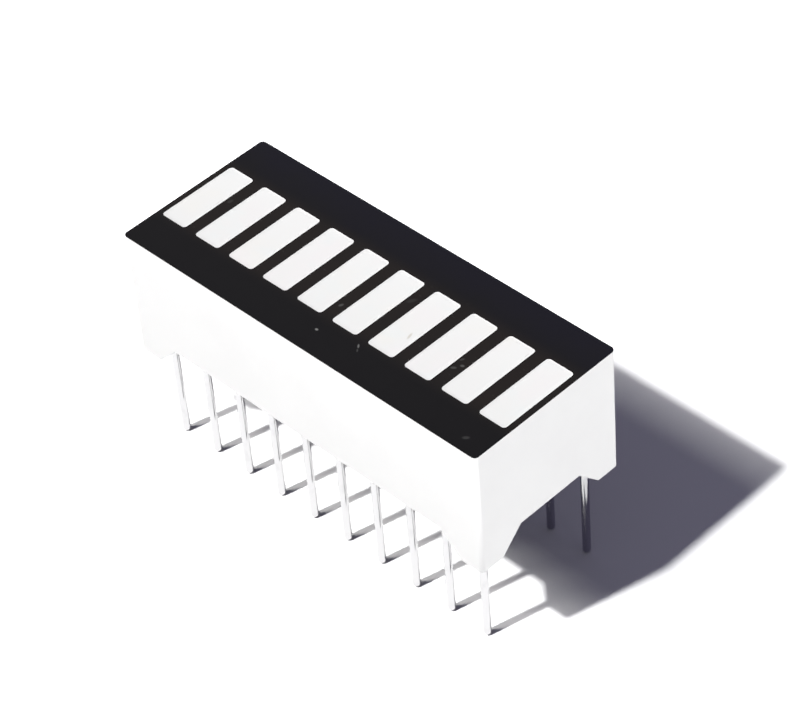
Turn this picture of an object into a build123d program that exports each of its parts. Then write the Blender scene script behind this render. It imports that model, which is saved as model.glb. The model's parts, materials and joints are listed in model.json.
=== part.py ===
from build123d import *
import math
import os

# Ten-segment LED bar graph with twenty pins in two rows.
# Millimetres. +X runs along the row of bars, +Y across it and +Z up through the face.
# The origin is the middle of the pin grid, in the plane of the four feet.

# Grid shared by bars and pins
SEGMENTS = 10
PITCH = 2.54
PIN_ROW_SPACING = 7.62

# Housing, outside: its length and width follow from the grid and these margins
END_MARGIN = 1.22
SIDE_MARGIN = 1.24
BODY_HEIGHT = 8.1
BODY_CORNER_RADIUS = 0.25

# Feet left at the corners by the notches in the bottom edges
FOOT_HEIGHT = 1.4
FOOT_LENGTH = 1.5
NOTCH_SLOPE_DEG = 45.0

# Housing, inside
SKIRT_WALL = 0.55
POCKET_CORNER_RADIUS = 0.2
REFLECTOR_DEPTH = 4.5

# Black printed face
FACE_THICKNESS = 0.05

# Light wells and the bars cast in them: wide at the face, narrow at the chip
WINDOW_WIDTH = 1.75
WINDOW_LENGTH = 5.05
WINDOW_ROW_OFFSET = -0.1
SEAT_WIDTH = 1.2
SEAT_LENGTH = 2.6
WELL_CORNER_RADIUS = 0.2

# Circuit board, under the reflector block
BOARD_THICKNESS = 1.0
BOARD_EDGE_GAP = 0.15
PIN_HOLE_CLEARANCE = 0.04

# Light-emitting chip and its bond wire
CHIP_SIDE = 0.3
CHIP_HEIGHT = 0.2
WIRE_THICKNESS = 0.04
WIRE_RISE = 0.25
WIRE_REACH = 0.9
WIRE_DROP = 0.15

# Pins: round below the feet, with an eight-sided root above them
PIN_DIAMETER = 0.45
PIN_DROP = 6.3
ROOT_ACROSS_FLATS = 0.5
ROOT_SIDES = 8

# Solder round each root and potting under the board
SOLDER_ACROSS_FLATS = 1.2
SOLDER_HEIGHT = 0.55
POTTING_COVER = 0.25

# Sizes and levels that follow from the ones above
BODY_LENGTH = (SEGMENTS - 1) * PITCH + 2 * END_MARGIN
BODY_WIDTH = PIN_ROW_SPACING + 2 * SIDE_MARGIN
REFLECTOR_TOP = BODY_HEIGHT - FACE_THICKNESS
BOARD_TOP = REFLECTOR_TOP - REFLECTOR_DEPTH
BOARD_BOTTOM = BOARD_TOP - BOARD_THICKNESS
SOLDER_TIP = BOARD_BOTTOM - SOLDER_HEIGHT
POTTING_BOTTOM = SOLDER_TIP - POTTING_COVER
POCKET_LENGTH = BODY_LENGTH - 2 * SKIRT_WALL
POCKET_WIDTH = BODY_WIDTH - 2 * SKIRT_WALL
BOARD_LENGTH = POCKET_LENGTH - 2 * BOARD_EDGE_GAP
BOARD_WIDTH = POCKET_WIDTH - 2 * BOARD_EDGE_GAP


def prism(outline, bottom, top):
    """An outline on the XY plane raised to a solid between two levels."""
    return Pos(0, 0, bottom) * extrude(outline, top - bottom)


def frustum(wide, narrow, bottom, top):
    """A four-sided taper between two levels, wide end up; the ends are (x, y) sizes."""
    inset_x = (wide[0] - narrow[0]) / 2
    inset_y = (wide[1] - narrow[1]) / 2
    far_x = wide[0] - inset_x
    far_y = wide[1] - inset_y
    wedge = Wedge(wide[0], top - bottom, wide[1], inset_x, inset_y, far_x, far_y)
    return Pos(0, 0, (bottom + top) / 2) * Rot(-90, 0, 0) * wedge


def segment_x(index):
    """Middle of a bar along the row; the first is at the low end."""
    return (index - (SEGMENTS - 1) / 2) * PITCH


def pin_places():
    """Pin centres in order: along the low row, then back along the high row."""
    columns = [segment_x(index) for index in range(SEGMENTS)]
    low_row = [(x, -PIN_ROW_SPACING / 2) for x in columns]
    high_row = [(x, PIN_ROW_SPACING / 2) for x in reversed(columns)]
    return low_row + high_row


def eight_sided(across_flats):
    """Outline of a pin's root, with flats that face along X and Y."""
    return RegularPolygon(across_flats / 2, ROOT_SIDES, major_radius=False, rotation=180 / ROOT_SIDES)


def body_outline():
    """Outline that the housing and its printed face share."""
    return RectangleRounded(BODY_LENGTH, BODY_WIDTH, BODY_CORNER_RADIUS)


def pocket_outline():
    """Outline of the pocket inside the skirt."""
    return RectangleRounded(POCKET_LENGTH, POCKET_WIDTH, POCKET_CORNER_RADIUS)


def well():
    """One light well, tapering from its window in the face to the seat round the chip."""
    window = (WINDOW_WIDTH, WINDOW_LENGTH)
    seat = (SEAT_WIDTH, SEAT_LENGTH)
    taper = frustum(window, seat, BOARD_TOP, BODY_HEIGHT)
    corners = taper.edges() - taper.faces().filter_by(Axis.Z).edges()
    return Pos(0, WINDOW_ROW_OFFSET, 0) * fillet(corners, WELL_CORNER_RADIUS)


def notch(opening, depth):
    """Prism along Y that cuts a bottom edge; its slopes leave the feet tapered."""
    slope_run = FOOT_HEIGHT / math.tan(math.radians(NOTCH_SLOPE_DEG))
    half_mouth = opening / 2
    half_roof = half_mouth - slope_run
    outline = Polyline(
        (-half_mouth, 0),
        (half_mouth, 0),
        (half_roof, FOOT_HEIGHT),
        (-half_roof, FOOT_HEIGHT),
        close=True,
    )
    return extrude(Plane.XZ * make_face(outline), depth / 2, both=True)


def housing(one_well):
    """White moulded shell: reflector block with ten wells over a notched skirt."""
    shell = prism(body_outline(), 0, REFLECTOR_TOP)
    shell -= prism(pocket_outline(), 0, BOARD_TOP)
    shell -= notch(BODY_LENGTH - 2 * FOOT_LENGTH, BODY_WIDTH)
    shell -= Rot(0, 0, 90) * notch(BODY_WIDTH - 2 * FOOT_LENGTH, BODY_LENGTH)
    for index in range(SEGMENTS):
        shell -= Pos(segment_x(index), 0, 0) * one_well
    return shell


def black_face(one_well):
    """Printed layer over the whole top, open at the ten windows."""
    face = prism(body_outline(), REFLECTOR_TOP, BODY_HEIGHT)
    for index in range(SEGMENTS):
        face -= Pos(segment_x(index), 0, 0) * one_well
    return face


def led_chip():
    """Chip on the board, in the middle of its well."""
    blank = Rectangle(CHIP_SIDE, CHIP_SIDE)
    return Pos(0, WINDOW_ROW_OFFSET, 0) * prism(blank, BOARD_TOP, BOARD_TOP + CHIP_HEIGHT)


def bond_wire():
    """Fine wire that rises from the chip, slopes across and drops on the board."""
    path = Polyline(
        (0, 0, CHIP_HEIGHT),
        (0, 0, CHIP_HEIGHT + WIRE_RISE),
        (0, WIRE_REACH, WIRE_DROP),
        (0, WIRE_REACH, 0),
    )
    section = Pos(0, 0, CHIP_HEIGHT) * Rectangle(WIRE_THICKNESS, WIRE_THICKNESS)
    arch = sweep(section, path=path, transition=Transition.RIGHT)
    return Pos(0, WINDOW_ROW_OFFSET, BOARD_TOP) * arch


def circuit_board():
    """Board that closes the wells from below, drilled for the pins."""
    board = prism(Rectangle(BOARD_LENGTH, BOARD_WIDTH), BOARD_BOTTOM, BOARD_TOP)
    hole = prism(eight_sided(ROOT_ACROSS_FLATS + 2 * PIN_HOLE_CLEARANCE), BOARD_BOTTOM, BOARD_TOP)
    for x, y in pin_places():
        board -= Pos(x, y, 0) * hole
    return board


def pin():
    """Tinned pin: a root that stands in the board and a round shank below the feet."""
    root = prism(eight_sided(ROOT_ACROSS_FLATS), 0, BOARD_TOP)
    shank = prism(Circle(PIN_DIAMETER / 2), -PIN_DROP, 0)
    return root + shank


def solder_cone():
    """Solder that rises from the board's underside onto the pin's root, before the root is cut."""
    base = (SOLDER_ACROSS_FLATS, SOLDER_ACROSS_FLATS)
    tip = (ROOT_ACROSS_FLATS, ROOT_ACROSS_FLATS)
    square = frustum(base, tip, SOLDER_TIP, BOARD_BOTTOM)
    return square & Rot(0, 0, 360 / ROOT_SIDES) * square


def potting(cone, one_pin):
    """Epoxy that fills the pocket below and round the board, with the pins cast in."""
    block = prism(pocket_outline(), POTTING_BOTTOM, BOARD_TOP)
    block -= prism(Rectangle(BOARD_LENGTH, BOARD_WIDTH), BOARD_BOTTOM, BOARD_TOP)
    held = cone + one_pin
    for x, y in pin_places():
        block -= Pos(x, y, 0) * held
    return block


def write(name, shape):
    """One STEP file for each named piece."""
    export_step(shape, f"parts/{name}.step")


def main():
    os.makedirs("parts", exist_ok=True)
    one_well = well()
    write("housing", housing(one_well))
    write("black_face", black_face(one_well))

    chip = led_chip()
    wire = bond_wire()
    bar = one_well - chip - wire
    for index in range(SEGMENTS):
        place = Pos(segment_x(index), 0, 0)
        write(f"led_chip_{index + 1:02d}", place * chip)
        write(f"bond_wire_{index + 1:02d}", place * wire)
        write(f"light_bar_{index + 1:02d}", place * bar)

    one_pin = pin()
    cone = solder_cone()
    joint = cone - one_pin
    places = pin_places()
    write("circuit_board", circuit_board())
    write("potting", potting(cone, one_pin))
    write("solder_joints", Compound(children=[Pos(x, y, 0) * joint for x, y in places]))
    for number, (x, y) in enumerate(places, start=1):
        write(f"pin_{number:02d}", Pos(x, y, 0) * one_pin)


main()
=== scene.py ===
import json
import math

import bmesh
import bpy
from mathutils import Euler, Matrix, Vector


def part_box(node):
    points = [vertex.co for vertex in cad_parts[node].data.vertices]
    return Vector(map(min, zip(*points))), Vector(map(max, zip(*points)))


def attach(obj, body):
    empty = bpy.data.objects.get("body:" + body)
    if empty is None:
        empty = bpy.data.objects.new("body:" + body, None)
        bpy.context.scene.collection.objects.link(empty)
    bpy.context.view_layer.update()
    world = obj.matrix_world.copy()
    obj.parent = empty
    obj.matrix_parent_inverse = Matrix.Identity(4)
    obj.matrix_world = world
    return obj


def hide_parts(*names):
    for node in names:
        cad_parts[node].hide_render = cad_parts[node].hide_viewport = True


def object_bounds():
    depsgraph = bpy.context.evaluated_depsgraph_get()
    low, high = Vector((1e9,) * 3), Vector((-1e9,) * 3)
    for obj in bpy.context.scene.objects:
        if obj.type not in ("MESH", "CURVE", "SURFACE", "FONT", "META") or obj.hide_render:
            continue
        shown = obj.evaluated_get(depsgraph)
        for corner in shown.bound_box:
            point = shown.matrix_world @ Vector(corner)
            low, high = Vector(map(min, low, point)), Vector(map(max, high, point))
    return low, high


bl_info = {
    "name": "LED Bar Graph",
    "version": (1, 0, 0),
    "blender": (4, 5, 0),
    "location": "3D View > Sidebar > Bar Graph",
    "description": "Finishes a ten-bar LED display with twenty pins and sets it on a pale floor",
    "category": "Object",
}

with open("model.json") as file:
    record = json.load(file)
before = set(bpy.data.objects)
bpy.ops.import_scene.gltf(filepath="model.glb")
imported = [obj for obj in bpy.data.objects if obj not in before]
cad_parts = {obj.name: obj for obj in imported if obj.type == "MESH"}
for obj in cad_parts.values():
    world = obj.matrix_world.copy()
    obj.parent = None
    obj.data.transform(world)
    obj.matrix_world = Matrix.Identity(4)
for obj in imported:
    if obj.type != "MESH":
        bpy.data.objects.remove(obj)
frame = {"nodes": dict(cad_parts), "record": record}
NODES = frame["nodes"]
CAD_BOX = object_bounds()


def nodes_named(start):
    """The CAD nodes whose names begin with a word, in order."""
    return sorted(name for name in NODES if name.startswith(start))


BARS = nodes_named("light_bar")
CHIPS = nodes_named("led_chip")
WIRES = nodes_named("bond_wire")
PINS = nodes_named("pin_")

# Sizes and levels of the CAD model, in metres
MM = 0.001
FEET_LEVEL = 0.0
FLOOR_LEVEL = CAD_BOX[0].z
FACE_LEVEL = CAD_BOX[1].z
POTTING_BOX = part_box("potting")
POTTING_LEVEL = POTTING_BOX[0].z
SHANK_RADIUS = frame["record"]["mounts"][0]["dims"]["stud_r_mm"] * MM

# Small gaps and overlaps between meshes, in metres
MERGE_GAP = 1e-7
SKIN_OVERLAP = 0.01 * MM
FLOOR_GAP = 0.01 * MM

# What counts as shaded smooth, as flat, as an edge to round, and as facing down
SMOOTH_ANGLE = math.radians(30)
FLAT_ANGLE = math.radians(0.5)
EDGE_ANGLE = math.radians(25)
FACING_DOWN = -0.5

# Facets round each collar of potting
COLLAR_FACETS = 24

# Where the low panels stand, turned from -Y towards +X
END_AZIMUTH = math.radians(95)
FRONT_AZIMUTH = math.radians(-10)
BACK_AZIMUTH = math.radians(170)

# The camera's sensor, and the nearest and farthest that it sees, in metres
SENSOR_WIDTH_MM = 36.0
NEAR_CLIP = 0.001
FAR_CLIP = 10.0

# Sockets that a Mix node uses for colours
MIX_FACTOR = 0
MIX_FIRST = 6
MIX_SECOND = 7
MIX_RESULT = 2

WHITE = (1.0, 1.0, 1.0, 1.0)

# Marks on the printed face: x, y, half length and half width in mm, turn in degrees, level
INK_MARKS = (
    (0.33, -3.58, 0.13, 0.10, 0.0, 0.22),
    (2.80, -3.08, 0.20, 0.07, -50.0, 0.15),
    (2.98, -3.34, 0.16, 0.06, -50.0, 0.05),
    (11.32, -4.27, 0.26, 0.14, 40.0, 0.035),
    (7.40, -0.42, 0.18, 0.10, 60.0, 0.035),
    (7.73, -0.75, 0.16, 0.12, 20.0, 0.075),
    (7.48, -1.13, 0.22, 0.12, 35.0, 0.05),
    (-0.02, -1.50, 0.20, 0.12, 70.0, 0.06),
    (2.48, 1.05, 0.40, 0.18, 60.0, 0.015),
    (-10.27, 0.42, 0.25, 0.15, 80.0, 0.02),
)

# The mark on one bar, in the same terms
BAR_MARKS = ((4.22, -0.88, 0.34, 0.10, 105.0, 0.6),)

# How far out a mark keeps its full level, as a share of its size
MARK_CORE = 0.35

# Where a change of colour across the face begins and ends, as y in mm: the margin's painted
# reflection, the gaps' ends and the bars' painted shade
REFLECTION_BAND = (2.8, 6.2)
GAP_END_BAND = (2.0, 3.2)
BAR_SHADE_BAND = (-3.4, 3.2)


# Shader expressions


class Signal:
    """A shader value in a Python expression; each operator adds the Math node it needs."""

    def __init__(self, finish, socket):
        self.finish = finish
        self.socket = socket

    def math(self, operation, *terms):
        return self.finish.node("ShaderNodeMath", {"operation": operation}, dict(enumerate(terms)))

    def __add__(self, other):
        return self.math("ADD", self, other)

    def __radd__(self, other):
        return self.math("ADD", other, self)

    def __sub__(self, other):
        return self.math("SUBTRACT", self, other)

    def __rsub__(self, other):
        return self.math("SUBTRACT", other, self)

    def __mul__(self, other):
        return self.math("MULTIPLY", self, other)

    def __rmul__(self, other):
        return self.math("MULTIPLY", other, self)

    def __or__(self, other):
        return self.math("MAXIMUM", self, other)

    def __ror__(self, other):
        return self.math("MAXIMUM", other, self)

    def __abs__(self):
        return self.math("ABSOLUTE", self)


class Finish:
    """A material or world whose nodes come from one method and are wired by expressions."""

    def __init__(self, owner, end="ShaderNodeOutputMaterial"):
        self.owner = owner
        owner.use_nodes = True
        self.tree = owner.node_tree
        self.tree.nodes.clear()
        self.end = self.tree.nodes.new(end)

    def node(self, kind, settings=None, inputs=None, output=0):
        """Adds one node: its settings, then its sockets' values or links, and gives one output."""
        added = self.tree.nodes.new(kind)
        for name, value in (settings or {}).items():
            setattr(added, name, value)
        for name, value in (inputs or {}).items():
            if isinstance(value, Signal):
                self.tree.links.new(value.socket, added.inputs[name])
            else:
                added.inputs[name].default_value = value
        return Signal(self, added.outputs[output])

    def place(self):
        """Where the surface is on the object, in millimetres."""
        point = self.node("ShaderNodeTexCoord", output="Object")
        sockets = {0: point, "Scale": 1 / MM}
        return self.node("ShaderNodeVectorMath", {"operation": "SCALE"}, sockets)

    def axis(self, place, letter):
        """One coordinate of a place."""
        return self.node("ShaderNodeSeparateXYZ", inputs={0: place}, output=letter)

    def stretched(self, place, factors):
        """A place with its axes scaled, for grain that runs one way or for another pattern."""
        return self.node("ShaderNodeVectorMath", {"operation": "MULTIPLY"}, {0: place, 1: factors})

    def noise(self, place, per_mm, detail=3.0, roughness=0.5):
        """Noise from 0 to 1 with about that many patches a millimetre."""
        sockets = {"Vector": place, "Scale": per_mm, "Detail": detail, "Roughness": roughness}
        return self.node("ShaderNodeTexNoise", inputs=sockets)

    def step(self, value, low, high):
        """0 below low and 1 above high, with a smooth rise between them."""
        sockets = {"Value": value, "From Min": low, "From Max": high}
        return self.node("ShaderNodeMapRange", {"interpolation_type": "SMOOTHSTEP"}, sockets)

    def between(self, pattern, low, high):
        """A value that is low where a pattern is 0 and high where it is 1."""
        return low + pattern * (high - low)

    def mark(self, place, x, y, half_length, half_width, turn, level):
        """A fleck or streak on the face: its level in the middle, falling to 0 at its edge."""
        outline = {
            "Vector": place,
            "Location": (x, y, FACE_LEVEL / MM),
            "Rotation": (0.0, 0.0, math.radians(turn)),
            "Scale": (half_length, half_width, 1.0),
        }
        inside = self.node("ShaderNodeMapping", {"vector_type": "TEXTURE"}, outline)
        reach = self.node("ShaderNodeVectorMath", {"operation": "LENGTH"}, {0: inside}, "Value")
        return (1 - self.step(reach, MARK_CORE, 1.0)) * level

    def marks(self, place, table):
        """All the marks of a table, the strongest showing where two meet."""
        total = None
        for row in table:
            one = self.mark(place, *row)
            total = one if total is None else total | one
        return total

    def seen(self):
        """1 where this is seen, also reflected or through a clear part, and 0 where it lights."""
        rays = ("Is Camera Ray", "Is Glossy Ray", "Is Transmission Ray", "Diffuse Depth")
        sockets = [self.node("ShaderNodeLightPath", output=ray) for ray in rays]
        camera, glossy, through, bounced = sockets
        # A reflection that starts from a matt surface only lights it, so it doesn't count.
        direct = 1 - self.step(bounced, 0.0, 1.0)
        return camera | through | glossy * direct

    def blend(self, amount, first, second):
        """Two colours mixed: the first where amount is 0 and the second where it is 1."""
        sockets = {MIX_FACTOR: amount, MIX_FIRST: first, MIX_SECOND: second}
        return self.node("ShaderNodeMix", {"data_type": "RGBA"}, sockets, MIX_RESULT)

    def blend_shaders(self, amount, first, second):
        """Two shaders mixed in the same way."""
        return self.node("ShaderNodeMixShader", inputs={0: amount, 1: first, 2: second})

    def bump(self, height, depth_mm):
        """A normal from a height of 0 to 1 that stands for a depth in millimetres."""
        sockets = {"Height": height, "Distance": depth_mm * MM, "Strength": 1.0}
        return self.node("ShaderNodeBump", inputs=sockets)

    def surface(self, **sockets):
        """Ends the material in a Principled surface; names are its sockets, with _ for a space."""
        named = {name.replace("_", " "): value for name, value in sockets.items()}
        return self.close(self.node("ShaderNodeBsdfPrincipled", inputs=named))

    def close(self, shader):
        """Links the last shader to the output and gives the finished material or world."""
        self.tree.links.new(shader.socket, self.end.inputs["Surface"])
        return self.owner


def new_finish(name):
    """An empty material to build a finish in."""
    return Finish(bpy.data.materials.new(name))


def rgba(colour):
    """A property's colour as a socket's four numbers."""
    return (*colour, 1.0)


# Finishes


def moulded_white(settings):
    """Glass-filled white plastic: faintly clouded, with a fine satin moulding grain."""
    cloud_share, fibre_share = 0.7, 0.3
    fibre_height = 0.4
    finish = new_finish("moulded_white")
    place = finish.place()
    flow = finish.stretched(place, (5.0, 1.2, 5.0))
    cloud = finish.step(finish.noise(place, per_mm=0.3, detail=4.0), low=0.35, high=0.75)
    grain = finish.noise(place, per_mm=11.0)
    fibre = finish.noise(flow, per_mm=2.4, detail=2.0)
    shade = cloud * cloud_share + finish.step(fibre, low=0.6, high=0.8) * fibre_share
    return finish.surface(
        Base_Color=finish.blend(shade, rgba(settings.plastic_colour), rgba(settings.cloud_colour)),
        Roughness=finish.between(grain, low=0.4, high=0.54),
        Specular_IOR_Level=0.35,
        Normal=finish.bump(grain + fibre * fibre_height, depth_mm=0.0025),
    )


def printed_black(settings):
    """Matt black ink over the face: a painted bluish reflection of the sky along the far margin,
    browner gaps, scuffs and dust.
    """
    reflection_drift_mm = 2.4
    scuff_level, scuff_roughness = 0.03, 3.0
    finish = new_finish("printed_black")
    place = finish.place()
    across = finish.axis(place, "Y")
    cloud = finish.noise(place, per_mm=0.55, detail=4.0)
    # Painted reflection: the ink turns bluish towards the far margin, standing in for the sky it
    # mirrors there.
    margin = finish.step(across + cloud * reflection_drift_mm, *REFLECTION_BAND)
    gap = 1 - finish.step(abs(across), *GAP_END_BAND)
    browned = gap * finish.between(cloud, low=0.35, high=1.25)
    drawn_out = finish.stretched(place, (1.0, 1.6, 1.0))
    rub = finish.noise(drawn_out, per_mm=2.6, detail=5.0, roughness=0.65)
    scuff = finish.step(rub, low=0.6, high=0.82) * gap * scuff_level
    dust = finish.marks(place, INK_MARKS) | scuff
    grain = finish.noise(place, per_mm=8.0, detail=4.0)
    ink = finish.blend(margin, rgba(settings.ink_colour), rgba(settings.margin_reflection_colour))
    ink = finish.blend(browned, ink, rgba(settings.gap_colour))
    ink = finish.blend(dust, ink, rgba(settings.dust_colour))
    return finish.surface(
        Base_Color=ink,
        Roughness=finish.between(cloud, low=0.46, high=0.62) + scuff * scuff_roughness,
        Specular_IOR_Level=settings.ink_gloss,
        Normal=finish.bump(grain, depth_mm=0.002),
    )


def milky_resin(settings):
    """Cast epoxy with diffusing filler: nearly white, with faint warm, rosy and cool clouds, and
    painted shade that greys the ends towards -Y.
    """
    finish = new_finish("milky_resin")
    place = finish.place()
    # Turning an axis round gives each tint clouds of its own.
    rosy_place = finish.stretched(place, (1.0, 0.6, -1.0))
    cool_place = finish.stretched(place, (-0.8, 1.0, 1.0))
    warm = finish.step(finish.noise(place, per_mm=0.28, detail=2.0), low=0.5, high=0.72)
    rosy = finish.step(finish.noise(rosy_place, per_mm=0.45, detail=2.0), low=0.45, high=0.7)
    cool = finish.step(finish.noise(cool_place, per_mm=0.7, detail=2.0), low=0.5, high=0.7)
    clouds = (
        (warm, 0.8, settings.warm_colour),
        (rosy, 0.6, settings.rosy_colour),
        (cool, 0.6, settings.cool_colour),
    )
    # Painted shade: the bars grey towards their -Y ends, the way reflections fall across the
    # windows.
    depth = finish.step(finish.axis(place, "Y"), *BAR_SHADE_BAND)
    tint = finish.blend(depth, rgba(settings.near_shade_colour), rgba(settings.resin_colour))
    for cloud, strength, colour in clouds:
        tint = finish.blend(cloud * strength, tint, rgba(colour))
    tint = finish.blend(finish.marks(place, BAR_MARKS), tint, rgba(settings.stain_colour))
    grain = finish.noise(place, per_mm=5.0)
    return finish.surface(
        Base_Color=tint,
        Roughness=finish.between(grain, low=0.26, high=0.38),
        Specular_IOR_Level=0.3,
        Normal=finish.bump(grain, depth_mm=0.002),
    )


def tinned_metal(settings):
    """Dip-tinned wire: bright, with soft drawn streaks and a slightly uneven coat."""
    streak_height, dull_roughness = 0.5, 0.04
    finish = new_finish("tinned_metal")
    place = finish.place()
    streak = finish.noise(finish.stretched(place, (5.0, 5.0, 0.4)), per_mm=1.6)
    coat = finish.noise(finish.stretched(place, (1.0, 1.0, 0.6)), per_mm=1.8)
    dull = finish.step(coat, low=0.5, high=0.75)
    return finish.surface(
        Base_Color=finish.blend(dull, rgba(settings.tin_colour), rgba(settings.dull_colour)),
        Metallic=1.0,
        Roughness=finish.between(streak, low=0.05, high=0.09) + dull * dull_roughness,
        Normal=finish.bump(streak * streak_height + coat, depth_mm=0.0015),
    )


def solder_metal(settings):
    """Bright solder, a little frosted where it cooled last."""
    finish = new_finish("solder_metal")
    frost = finish.noise(finish.place(), per_mm=5.0, detail=4.0)
    return finish.surface(
        Base_Color=finish.blend(frost, rgba(settings.solder_colour), rgba(settings.dull_colour)),
        Metallic=1.0,
        Roughness=finish.between(frost, low=0.25, high=0.45),
        Normal=finish.bump(frost, depth_mm=0.01),
    )


def poured_resin(settings):
    """The potting at the back: milky resin with a glossy poured skin and fine bubbles."""
    bubbles_per_mm, pit_depth = 1.1, 0.5
    finish = new_finish("poured_resin")
    place = finish.place()
    cloud = finish.noise(place, per_mm=0.5)
    cells = {"Vector": place, "Scale": bubbles_per_mm}
    from_bubble = finish.node("ShaderNodeTexVoronoi", inputs=cells)
    pit = 1 - finish.step(from_bubble, low=0.03, high=0.08)
    resin, clouded = rgba(settings.potting_colour), rgba(settings.potting_cloud_colour)
    return finish.surface(
        Base_Color=finish.blend(cloud, resin, clouded),
        Roughness=finish.between(cloud, low=0.14, high=0.26),
        Specular_IOR_Level=0.5,
        Normal=finish.bump(cloud - pit * pit_depth, depth_mm=0.02),
    )


def board_laminate(settings):
    """Glass-fibre board: a plain weave under clear resin."""
    finish = new_finish("board_laminate")
    threads = {"Vector": finish.place(), "Scale": 1.0}
    warp = finish.node("ShaderNodeTexWave", {"bands_direction": "X"}, threads, "Fac")
    weft = finish.node("ShaderNodeTexWave", {"bands_direction": "Y"}, threads, "Fac")
    weave = warp * weft
    resin, glass = rgba(settings.laminate_colour), rgba(settings.fibre_colour)
    return finish.surface(
        Base_Color=finish.blend(weave, resin, glass),
        Roughness=finish.between(weave, low=0.35, high=0.5),
        Normal=finish.bump(weave, depth_mm=0.01),
    )


def sawn_crystal(settings):
    """Light-emitting chip: grey crystal with saw streaks on its sides."""
    finish = new_finish("sawn_crystal")
    sawn = finish.stretched(finish.place(), (1.0, 1.0, 14.0))
    streak = finish.noise(sawn, per_mm=6.0, detail=2.0)
    return finish.surface(
        Base_Color=finish.blend(streak, rgba(settings.crystal_colour), rgba(settings.saw_colour)),
        Metallic=0.2,
        Roughness=finish.between(streak, low=0.3, high=0.6),
    )


def drawn_gold(settings):
    """Bond wire: bright gold with fine drawing lines."""
    finish = new_finish("drawn_gold")
    line = finish.noise(finish.place(), per_mm=30.0, detail=2.0)
    gold, shade = rgba(settings.gold_colour), rgba(settings.gold_shade_colour)
    return finish.surface(
        Base_Color=finish.blend(line, gold, shade),
        Metallic=1.0,
        Roughness=finish.between(line, low=0.18, high=0.28),
    )


def pale_floor(settings):
    """Seamless white floor; it is brighter where it is seen, and clear from below."""
    finish = new_finish("pale_floor")
    fibre = finish.noise(finish.place(), per_mm=0.2, detail=2.0)
    behind = finish.node("ShaderNodeNewGeometry", output="Backfacing")
    paper = finish.blend(fibre, rgba(settings.floor_colour), rgba(settings.floor_shade_colour))
    bounce = finish.node("ShaderNodeBsdfDiffuse", inputs={"Color": paper})
    white = {"Color": rgba(settings.floor_seen_colour)}
    bright = finish.node("ShaderNodeBsdfDiffuse", inputs=white)
    top = finish.blend_shaders(finish.seen(), bounce, bright)
    clear = finish.node("ShaderNodeBsdfTransparent")
    return finish.close(finish.blend_shaders(behind, top, clear))


def studio_sky(settings):
    """White where it is seen; the light it gives is faint and slightly violet."""
    sky = Finish(bpy.data.worlds.new("studio"), "ShaderNodeOutputWorld")
    seen = sky.seen()
    sockets = {
        "Color": sky.blend(seen, rgba(settings.sky_colour), WHITE),
        "Strength": seen + (1 - seen) * settings.sky_level,
    }
    return sky.close(sky.node("ShaderNodeBackground", inputs=sockets))


# Mesh helpers


def new_piece(name, body, finish, replaced=()):
    """Turns a bmesh into a piece that rides on the root and stands for its CAD nodes."""
    mesh = bpy.data.meshes.new(name)
    bmesh.ops.recalc_face_normals(body, faces=body.faces)
    body.to_mesh(mesh)
    body.free()
    for polygon in mesh.polygons:
        polygon.use_smooth = True
    mesh.set_sharp_from_angle(angle=SMOOTH_ANGLE)
    mesh.materials.append(finish)
    piece = bpy.data.objects.new(name, mesh)
    bpy.context.scene.collection.objects.link(piece)
    shading = piece.modifiers.new("flat_sides", "WEIGHTED_NORMAL")
    shading.keep_sharp = True
    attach(piece, "root")
    if replaced:
        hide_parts(*replaced)


def merged_copy(name):
    """A CAD node's mesh as a bmesh, with the doubles along its triangles merged."""
    copied = bmesh.new()
    copied.from_mesh(NODES[name].data)
    bmesh.ops.remove_doubles(copied, verts=copied.verts, dist=MERGE_GAP)
    return copied


def flatten(body, faces):
    """Dissolves the triangles of flat faces into whole faces."""
    bmesh.ops.dissolve_limit(
        body,
        angle_limit=FLAT_ANGLE,
        verts=list(dict.fromkeys(vert for face in faces for vert in face.verts)),
        edges=list(dict.fromkeys(edge for face in faces for edge in face.edges)),
    )


def paint(names, finish):
    """Gives CAD nodes a finish through their material slots."""
    for name in names:
        for entry in NODES[name].material_slots:
            entry.material = finish


def lathe(body, profile, x, y, steps):
    """Spins a profile of (radius, height) points into a closed shape round an upright axis."""
    verts = [body.verts.new((x + radius, y, z)) for radius, z in profile]
    edges = [body.edges.new(pair) for pair in zip(verts, verts[1:])]
    bmesh.ops.spin(
        body,
        geom=verts + edges,
        cent=(x, y, 0.0),
        axis=(0.0, 0.0, 1.0),
        angle=math.tau,
        steps=steps,
        use_merge=True,
    )
    bmesh.ops.remove_doubles(body, verts=verts_near_axis(body, x, y), dist=MERGE_GAP)


def verts_near_axis(body, x, y):
    """The vertices of a spun shape that lie on its axis."""
    return [vert for vert in body.verts if math.hypot(vert.co.x - x, vert.co.y - y) < MERGE_GAP]


def quarter_arc(radius, steps):
    """Points of a quarter circle as (across, up) pairs, from (radius, 0) to (0, radius)."""
    turns = [step / steps * math.pi / 2 for step in range(steps + 1)]
    return [(radius * math.cos(turn), radius * math.sin(turn)) for turn in turns]


def pin_axis(name):
    """Where a pin stands, and the radius of its root."""
    low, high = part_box(name)
    return (low.x + high.x) / 2, (low.y + high.y) / 2, (high.x - low.x) / 2


def direction(azimuth, elevation):
    """Unit vector from the object towards a lamp or camera; azimuth turns from -Y towards +X."""
    flat = math.cos(elevation)
    return Vector((math.sin(azimuth) * flat, -math.cos(azimuth) * flat, math.sin(elevation)))


def aim(azimuth, elevation):
    """Turn that makes a lamp at that direction shine back at the object."""
    return direction(azimuth, elevation).to_track_quat("Z", "Y").to_euler()


# Settings


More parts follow.
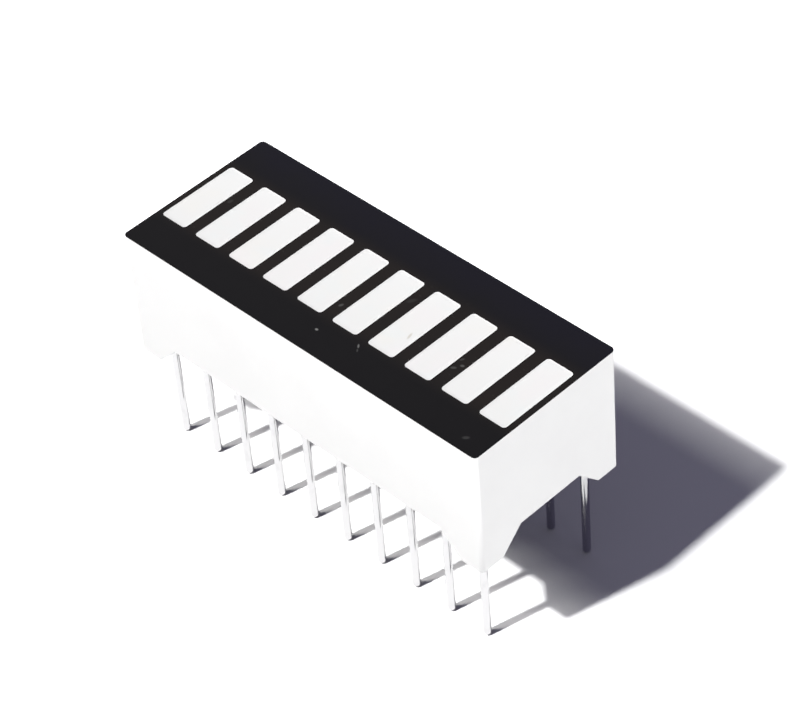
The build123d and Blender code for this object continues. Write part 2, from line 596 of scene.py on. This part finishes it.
def colour_setting(name, description, default):
    """A colour in linear light."""
    return bpy.props.FloatVectorProperty(
        name=name,
        description=description,
        default=default,
        subtype="COLOR",
        min=0.0,
        soft_max=1.0,
    )


def length_setting(name, description, default):
    """A length in metres."""
    return bpy.props.FloatProperty(
        name=name,
        description=description,
        default=default,
        unit="LENGTH",
        precision=5,
        min=0.0,
    )


def angle_setting(name, description, degrees):
    """An angle, whose default is given in degrees."""
    return bpy.props.FloatProperty(
        name=name,
        description=description,
        default=math.radians(degrees),
        subtype="ANGLE",
    )


def level_setting(name, description, default):
    """A strength of light or gloss."""
    return bpy.props.FloatProperty(name=name, description=description, default=default, min=0.0)


def count_setting(name, description, default, least=1):
    """A number of facets."""
    return bpy.props.IntProperty(name=name, description=description, default=default, min=least)


class HousingSettings(bpy.types.PropertyGroup):
    edge_radius: length_setting("Edge radius", "Rounding of the feet and notches", 0.04 * MM)
    edge_segments: count_setting("Edge segments", "Facets across a rounded edge", 3)
    plastic_colour: colour_setting("Plastic", "Colour of the moulded plastic", (0.88, 0.88, 0.87))
    cloud_colour: colour_setting("Clouds", "Colour of its faint clouding", (0.855, 0.855, 0.846))


class FaceSettings(bpy.types.PropertyGroup):
    ink_colour: colour_setting("Ink", "Colour of the printed face", (0.0062, 0.0057, 0.0068))
    # Painted reflection: the bluish cast the ink takes towards the far margin, standing in for the
    # mirrored sky.
    margin_reflection_colour: colour_setting(
        "Margin", "Cast of the ink towards the far margin", (0.0076, 0.007, 0.0116)
    )
    gap_colour: colour_setting(
        "Gaps", "Cast of the ink between the windows", (0.0155, 0.0125, 0.0118)
    )
    dust_colour: colour_setting("Dust", "Colour of dust and scuffs on the ink", (0.9, 0.9, 0.88))
    ink_gloss: level_setting("Ink gloss", "Specular level of the ink", 0.06)


class BarSettings(bpy.types.PropertyGroup):
    resin_colour: colour_setting("Resin", "Colour of the cast bars", (0.91, 0.91, 0.895))
    # Painted shade: the greyer -Y ends of the bars, from the way reflections fall across the
    # windows.
    near_shade_colour: colour_setting(
        "Near end", "Their slightly greyer ends towards -Y", (0.866, 0.866, 0.85)
    )
    warm_colour: colour_setting("Warm tint", "Warm clouds in the resin", (0.9, 0.887, 0.848))
    rosy_colour: colour_setting("Rosy tint", "Rosy clouds in the resin", (0.9, 0.873, 0.87))
    cool_colour: colour_setting("Cool tint", "Cool clouds in the resin", (0.868, 0.888, 0.878))
    stain_colour: colour_setting("Stain", "Colour of the mark on one bar", (0.6, 0.56, 0.47))
    dish_depth: length_setting("Dish", "How far the resin sinks in a window", 0.018 * MM)
    dish_border: length_setting("Dish border", "Width of that dish's curved border", 0.14 * MM)
    dish_steps: count_setting("Dish steps", "Facets across that border", 4)


class PinSettings(bpy.types.PropertyGroup):
    neck_length: length_setting("Neck", "Length over which a root narrows to the shank", 0.3 * MM)
    tip_radius: length_setting("Tip radius", "Rounding of a pin's end", 0.18 * MM)
    tip_steps: count_setting("Tip steps", "Facets over that rounding", 6)
    facets: count_setting("Facets", "Facets round a pin", 32, least=12)
    tin_colour: colour_setting("Tin", "Colour of the tinning", (0.65, 0.65, 0.65))
    dull_colour: colour_setting("Dull tin", "Colour where the coat is dull", (0.6, 0.6, 0.6))
    solder_colour: colour_setting("Solder", "Colour of the solder", (0.8, 0.8, 0.79))


class InsideSettings(bpy.types.PropertyGroup):
    collar_radius: length_setting("Collar", "How far the potting creeps along a pin", 0.28 * MM)
    rim_radius: length_setting("Rim", "How far the potting creeps down the skirt", 0.22 * MM)
    creep_steps: count_setting("Creep steps", "Facets over collar and rim", 6)
    potting_colour: colour_setting("Potting", "Colour of the resin at the back", (0.8, 0.79, 0.74))
    potting_cloud_colour: colour_setting(
        "Potting clouds", "Colour of its clouds", (0.74, 0.73, 0.68)
    )
    laminate_colour: colour_setting("Laminate", "Colour of the board", (0.12, 0.2, 0.07))
    fibre_colour: colour_setting("Fibre", "Colour of the board's glass threads", (0.2, 0.27, 0.12))
    crystal_colour: colour_setting("Chip", "Colour of the chips", (0.2, 0.19, 0.19))
    saw_colour: colour_setting("Saw marks", "Colour of the chips' saw marks", (0.32, 0.3, 0.29))
    gold_colour: colour_setting("Gold", "Colour of the bond wires", (0.9, 0.66, 0.25))
    gold_shade_colour: colour_setting("Gold shade", "Darker lines on the wires", (0.8, 0.55, 0.18))


class StageSettings(bpy.types.PropertyGroup):
    camera_azimuth: angle_setting(
        "Camera azimuth", "Turn of the camera from -Y towards +X", 47.932
    )
    camera_elevation: angle_setting("Camera elevation", "Height angle of the camera", 43.123)
    camera_roll: angle_setting(
        "Camera roll", "Turn of the camera about its own line of sight", -5.068
    )
    camera_distance: length_setting(
        "Camera distance", "From the lens to the point it looks at", 155.586 * MM
    )
    camera_target: bpy.props.FloatVectorProperty(
        name="Camera target",
        description="Point in the middle of the picture",
        default=(1.927 * MM, 0.395 * MM, 4.05 * MM),
        subtype="XYZ",
        unit="LENGTH",
    )
    focal_length: bpy.props.FloatProperty(
        name="Focal length",
        description="In millimetres, on a sensor 36 mm wide",
        default=136.304,
        min=1.0,
    )
    key_azimuth: angle_setting("Key azimuth", "Turn of the key light from -Y towards +X", -15.0)
    key_elevation: angle_setting("Key elevation", "Height angle of the key light", 53.0)
    key_spread: angle_setting(
        "Key spread", "Apparent width of the key light, which softens shadows", 2.4
    )
    key_level: level_setting("Key", "Light of the key, as a share of the plain level", 0.87)
    fill_azimuth: angle_setting("Fill azimuth", "Turn of the soft fill from -Y towards +X", -41.0)
    fill_elevation: angle_setting("Fill elevation", "Height angle of the soft fill", 46.0)
    fill_spread: angle_setting("Fill spread", "Apparent width of the soft fill", 16.0)
    fill_colour: colour_setting("Fill colour", "Colour of the soft fill", (1.0, 0.99, 0.955))
    fill_level: level_setting(
        "Fill", "Light of the soft fill, as a share of the plain level", 0.385
    )
    end_level: level_setting("End panel", "Light of the low panel at the near end", 0.785)
    front_level: level_setting("Front panel", "Light of the low panel in front", 0.125)
    back_level: level_setting("Back panel", "Light of the low panel behind", 0.3)
    panel_distance: length_setting("Panel distance", "From the object to each panel", 300.0 * MM)
    panel_width: length_setting("Panel width", "Length of each low panel", 300.0 * MM)
    panel_height: length_setting("Panel height", "Height of each low panel", 12.0 * MM)
    sky_level: level_setting("Sky", "Light of the sky, as a share of the plain level", 0.054)
    sky_colour: colour_setting("Sky colour", "Cast of the sky's light", (0.93, 0.88, 1.4))
    floor_width: length_setting("Floor width", "Side of the square floor", 3.0)
    floor_colour: colour_setting("Floor", "Colour of the floor", (0.35, 0.35, 0.35))
    floor_shade_colour: colour_setting(
        "Floor shade", "Faint unevenness of the floor", (0.33, 0.33, 0.33)
    )
    floor_seen_colour: colour_setting(
        "Floor, seen", "Colour of the floor where it is seen", (1.45, 1.45, 1.45)
    )


# Operators, one for each kind of piece


class BARGRAPH_OT_housing(bpy.types.Operator):
    """Round the edges of the housing's feet and notches and give it its moulded finish"""

    bl_idname = "bargraph.housing"
    bl_label = "Housing"

    def execute(self, context):
        settings = context.scene.bar_graph_housing
        shell = merged_copy("housing")
        low_faces = [face for face in shell.faces if face.calc_center_median().z < POTTING_LEVEL]
        flatten(shell, low_faces)
        bmesh.ops.bevel(
            shell,
            geom=[edge for edge in shell.edges if self.is_low_rim(edge)],
            offset=settings.edge_radius,
            offset_type="OFFSET",
            affect="EDGES",
            segments=settings.edge_segments,
            profile=0.5,
            material=-1,
            clamp_overlap=True,
        )
        new_piece("housing_shell", shell, moulded_white(settings), ["housing"])
        return {"FINISHED"}

    def is_low_rim(self, edge):
        """Whether an edge is a sharp one of the feet or notches, below the potting."""
        return (
            max(vert.co.z for vert in edge.verts) < POTTING_LEVEL
            and len(edge.link_faces) == 2
            and edge.calc_face_angle() > EDGE_ANGLE
        )


class BARGRAPH_OT_face(bpy.types.Operator):
    """Give the printed face its matt black ink"""

    bl_idname = "bargraph.face"
    bl_label = "Printed face"

    def execute(self, context):
        paint(["black_face"], printed_black(context.scene.bar_graph_face))
        return {"FINISHED"}


class BARGRAPH_OT_bars(bpy.types.Operator):
    """Cast the ten light bars, dished a little where the resin shrank, in milky resin"""

    bl_idname = "bargraph.bars"
    bl_label = "Light bars"

    def execute(self, context):
        settings = context.scene.bar_graph_bars
        resin = milky_resin(settings)
        facets = self.dish(settings)
        for name in BARS:
            bar = merged_copy(name)
            flatten(bar, self.window(bar))
            window = self.window(bar)
            if len(window) != 1:
                raise RuntimeError(f"{name}: its window is {len(window)} faces, not one")
            for across, down in facets:
                bmesh.ops.inset_region(
                    bar, faces=window, thickness=across, depth=-down, use_even_offset=True
                )
            new_piece("cast_" + name, bar, resin, [name])
        return {"FINISHED"}

    def window(self, bar):
        """The faces of a bar that lie in the plane of the printed face."""
        return [face for face in bar.faces if face.calc_center_median().z > FACE_LEVEL - MERGE_GAP]

    def dish(self, settings):
        """Width and fall of each facet, steep at the rim; the last is as level as the floor."""
        count = settings.dish_steps
        across = settings.dish_border / count
        falls = [(count - index) * 2 - 1 for index in range(count)]
        slopes = [(across, settings.dish_depth * fall / sum(falls)) for fall in falls]
        return slopes + [(across, 0.0)]


class BARGRAPH_OT_pins(bpy.types.Operator):
    """Turn the twenty pins with a soft neck and a rounded tip"""

    bl_idname = "bargraph.pins"
    bl_label = "Pins"

    def execute(self, context):
        settings = context.scene.bar_graph_pins
        tin = tinned_metal(settings)
        for name in PINS:
            x, y, root_radius = pin_axis(name)
            turned = bmesh.new()
            lathe(turned, self.profile(name, root_radius, settings), x, y, settings.facets)
            new_piece("turned_" + name, turned, tin, [name])
        return {"FINISHED"}

    def profile(self, name, root_radius, settings):
        """Half the outline of a pin, from the top of its root down to the end of its tip."""
        low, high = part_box(name)
        middle = SHANK_RADIUS - settings.tip_radius
        shoulder = low.z + settings.tip_radius
        rounding = quarter_arc(settings.tip_radius, settings.tip_steps)
        return [
            (0.0, high.z),
            (root_radius, high.z),
            (root_radius, FEET_LEVEL),
            (SHANK_RADIUS, FEET_LEVEL - settings.neck_length),
            *((middle + across, shoulder - down) for across, down in rounding),
            (0.0, low.z),
        ]


class BARGRAPH_OT_solder(bpy.types.Operator):
    """Give the solder joints their bright metal"""

    bl_idname = "bargraph.solder"
    bl_label = "Solder joints"

    def execute(self, context):
        paint(["solder_joints"], solder_metal(context.scene.bar_graph_pins))
        return {"FINISHED"}


class BARGRAPH_OT_inside(bpy.types.Operator):
    """Give the potting its poured skin and the board, chips and bond wires their finishes"""

    bl_idname = "bargraph.inside"
    bl_label = "Board and potting"

    def execute(self, context):
        settings = context.scene.bar_graph_inside
        resin = poured_resin(settings)
        paint(["potting"], resin)
        new_piece("potting_skin", self.skin(settings), resin)
        paint(["circuit_board"], board_laminate(settings))
        paint(CHIPS, sawn_crystal(settings))
        paint(WIRES, drawn_gold(settings))
        return {"FINISHED"}

    def skin(self, settings):
        """The poured surface: a thin skin that creeps down the skirt and along each pin."""
        body = bmesh.new()
        self.pour(body, settings)
        for name in PINS:
            self.collar(body, name, settings)
        return body

    def pour(self, body, settings):
        """A slab under the potting, hollowed from below to leave a rounded bead at the skirt."""
        low, high = POTTING_BOX
        thickness = settings.rim_radius + 2 * SKIN_OVERLAP
        size = (high.x - low.x, high.y - low.y, thickness)
        middle = (0.0, 0.0, POTTING_LEVEL - settings.rim_radius / 2)
        bmesh.ops.create_cube(body, size=1.0)
        bmesh.ops.scale(body, verts=body.verts, vec=size)
        bmesh.ops.translate(body, verts=body.verts, vec=middle)
        underside = [face for face in body.faces if face.normal.z < FACING_DOWN]
        arc = quarter_arc(settings.rim_radius, settings.creep_steps)
        for (wide, low_fall), (narrow, high_fall) in zip(arc, arc[1:]):
            inset = high_fall - low_fall
            rise = (0.0, 0.0, wide - narrow)
            bmesh.ops.inset_region(body, faces=underside, thickness=inset, depth=0.0)
            bmesh.ops.translate(body, verts=list(underside[0].verts), vec=rise)

    def collar(self, body, name, settings):
        """The ring that creeps along one pin.

        Its arc runs against the rest of the profile, so the mesh crosses itself and a straight
        cone shows.
        """
        x, y, root_radius = pin_axis(name)
        top = POTTING_LEVEL + SKIN_OVERLAP
        tip = POTTING_LEVEL - settings.collar_radius
        reach = root_radius + settings.collar_radius
        curve = quarter_arc(settings.collar_radius, settings.creep_steps)
        profile = [(0.0, top), (reach, top)]
        profile += [(reach - across, tip + up) for up, across in reversed(curve)]
        profile.append((0.0, tip))
        lathe(body, profile, x, y, COLLAR_FACETS)


class BARGRAPH_OT_stage(bpy.types.Operator):
    """Lay the floor, hang the lamps and stand the camera where the photograph was taken"""

    bl_idname = "bargraph.stage"
    bl_label = "Stage"

    def execute(self, context):
        scene = context.scene
        settings = scene.bar_graph_stage
        self.lay_floor(scene, settings)
        self.hang_lamps(scene, settings)
        self.stand_camera(scene, settings)
        scene.view_settings.view_transform = "Standard"
        return {"FINISHED"}

    def lay_floor(self, scene, settings):
        """A square sheet just under the ends of the pins."""
        sheet = bmesh.new()
        bmesh.ops.create_grid(sheet, x_segments=1, y_segments=1, size=settings.floor_width / 2)
        bmesh.ops.translate(sheet, verts=sheet.verts, vec=(0.0, 0.0, FLOOR_LEVEL - FLOOR_GAP))
        mesh = bpy.data.meshes.new("floor")
        sheet.to_mesh(mesh)
        sheet.free()
        mesh.materials.append(pale_floor(settings))
        floor = bpy.data.objects.new("floor", mesh)
        scene.collection.objects.link(floor)

    def hang_lamps(self, scene, settings):
        """The key, the soft fill, a low panel on three sides and the sky."""
        key_turn = aim(settings.key_azimuth, settings.key_elevation)
        fill_turn = aim(settings.fill_azimuth, settings.fill_elevation)
        self.hang_sun(scene, "key", key_turn, settings.key_level, settings.key_spread)
        fill = self.hang_sun(scene, "fill", fill_turn, settings.fill_level, settings.fill_spread)
        fill.color = settings.fill_colour
        self.hang_panel(scene, settings, "end_panel", END_AZIMUTH, settings.end_level)
        self.hang_panel(scene, settings, "front_panel", FRONT_AZIMUTH, settings.front_level)
        self.hang_panel(scene, settings, "back_panel", BACK_AZIMUTH, settings.back_level)
        scene.world = studio_sky(settings)

    def hang_sun(self, scene, name, turn, level, spread):
        """A distant lamp; energy pi lights a surface that faces it at the plain level."""
        lamp = bpy.data.lights.new(name, "SUN")
        lamp.energy = math.pi * level
        lamp.angle = spread
        lamp.cycles.max_bounces = 1
        hung = bpy.data.objects.new(name, lamp)
        hung.rotation_euler = turn
        scene.collection.objects.link(hung)
        return lamp

    def hang_panel(self, scene, settings, name, azimuth, level):
        """A panel on the floor that lights an upright side and hardly the floor.

        Energy (pi x distance) squared lights a side that faces it at the plain level.
        """
        lamp = bpy.data.lights.new(name, "AREA")
        lamp.shape = "RECTANGLE"
        lamp.size = settings.panel_width
        lamp.size_y = settings.panel_height
        lamp.energy = level * (math.pi * settings.panel_distance) ** 2
        lamp.cycles.max_bounces = 0
        lamp.cycles.use_multiple_importance_sampling = False
        hung = bpy.data.objects.new(name, lamp)
        hung.location = direction(azimuth, elevation=0.0) * settings.panel_distance
        hung.location.z = FLOOR_LEVEL + settings.panel_height / 2
        hung.rotation_euler = aim(azimuth, elevation=0.0)
        hung.visible_camera = False
        scene.collection.objects.link(hung)

    def stand_camera(self, scene, settings):
        """The camera, turned towards its target and then about its own line of sight."""
        lens = bpy.data.cameras.new("camera")
        lens.sensor_width = SENSOR_WIDTH_MM
        lens.lens = settings.focal_length
        lens.clip_start = NEAR_CLIP
        lens.clip_end = FAR_CLIP
        camera = bpy.data.objects.new("camera", lens)
        back = direction(settings.camera_azimuth, settings.camera_elevation)
        camera.location = Vector(settings.camera_target) + back * settings.camera_distance
        upright = back.to_track_quat("Z", "Y")
        roll = Euler((0.0, 0.0, settings.camera_roll)).to_quaternion()
        camera.rotation_mode = "QUATERNION"
        camera.rotation_quaternion = upright @ roll
        scene.collection.objects.link(camera)
        scene.camera = camera


class BARGRAPH_PT_panel(bpy.types.Panel):
    """Settings and steps of the LED bar graph"""

    bl_idname = "BARGRAPH_PT_panel"
    bl_label = "LED Bar Graph"
    bl_space_type = "VIEW_3D"
    bl_region_type = "UI"
    bl_category = "Bar Graph"

    def draw(self, context):
        for operator in OPERATORS:
            self.layout.operator(operator.bl_idname)
        for attribute, group in GROUPS.items():
            box = self.layout.box()
            for name in group.__annotations__:
                box.prop(getattr(context.scene, attribute), name)


GROUPS = {
    "bar_graph_housing": HousingSettings,
    "bar_graph_face": FaceSettings,
    "bar_graph_bars": BarSettings,
    "bar_graph_pins": PinSettings,
    "bar_graph_inside": InsideSettings,
    "bar_graph_stage": StageSettings,
}
OPERATORS = (
    BARGRAPH_OT_housing,
    BARGRAPH_OT_face,
    BARGRAPH_OT_bars,
    BARGRAPH_OT_pins,
    BARGRAPH_OT_solder,
    BARGRAPH_OT_inside,
    BARGRAPH_OT_stage,
)


def register():
    for attribute, group in GROUPS.items():
        bpy.utils.register_class(group)
        setattr(bpy.types.Scene, attribute, bpy.props.PointerProperty(type=group))
    for operator in OPERATORS:
        bpy.utils.register_class(operator)
    bpy.utils.register_class(BARGRAPH_PT_panel)


def unregister():
    bpy.utils.unregister_class(BARGRAPH_PT_panel)
    for operator in reversed(OPERATORS):
        bpy.utils.unregister_class(operator)
    for attribute, group in reversed(GROUPS.items()):
        delattr(bpy.types.Scene, attribute)
        bpy.utils.unregister_class(group)


def main():
    register()
    bpy.ops.bargraph.housing()
    bpy.ops.bargraph.face()
    bpy.ops.bargraph.bars()
    bpy.ops.bargraph.pins()
    bpy.ops.bargraph.solder()
    bpy.ops.bargraph.inside()
    bpy.ops.bargraph.stage()


if __name__ == "__main__":
    main()
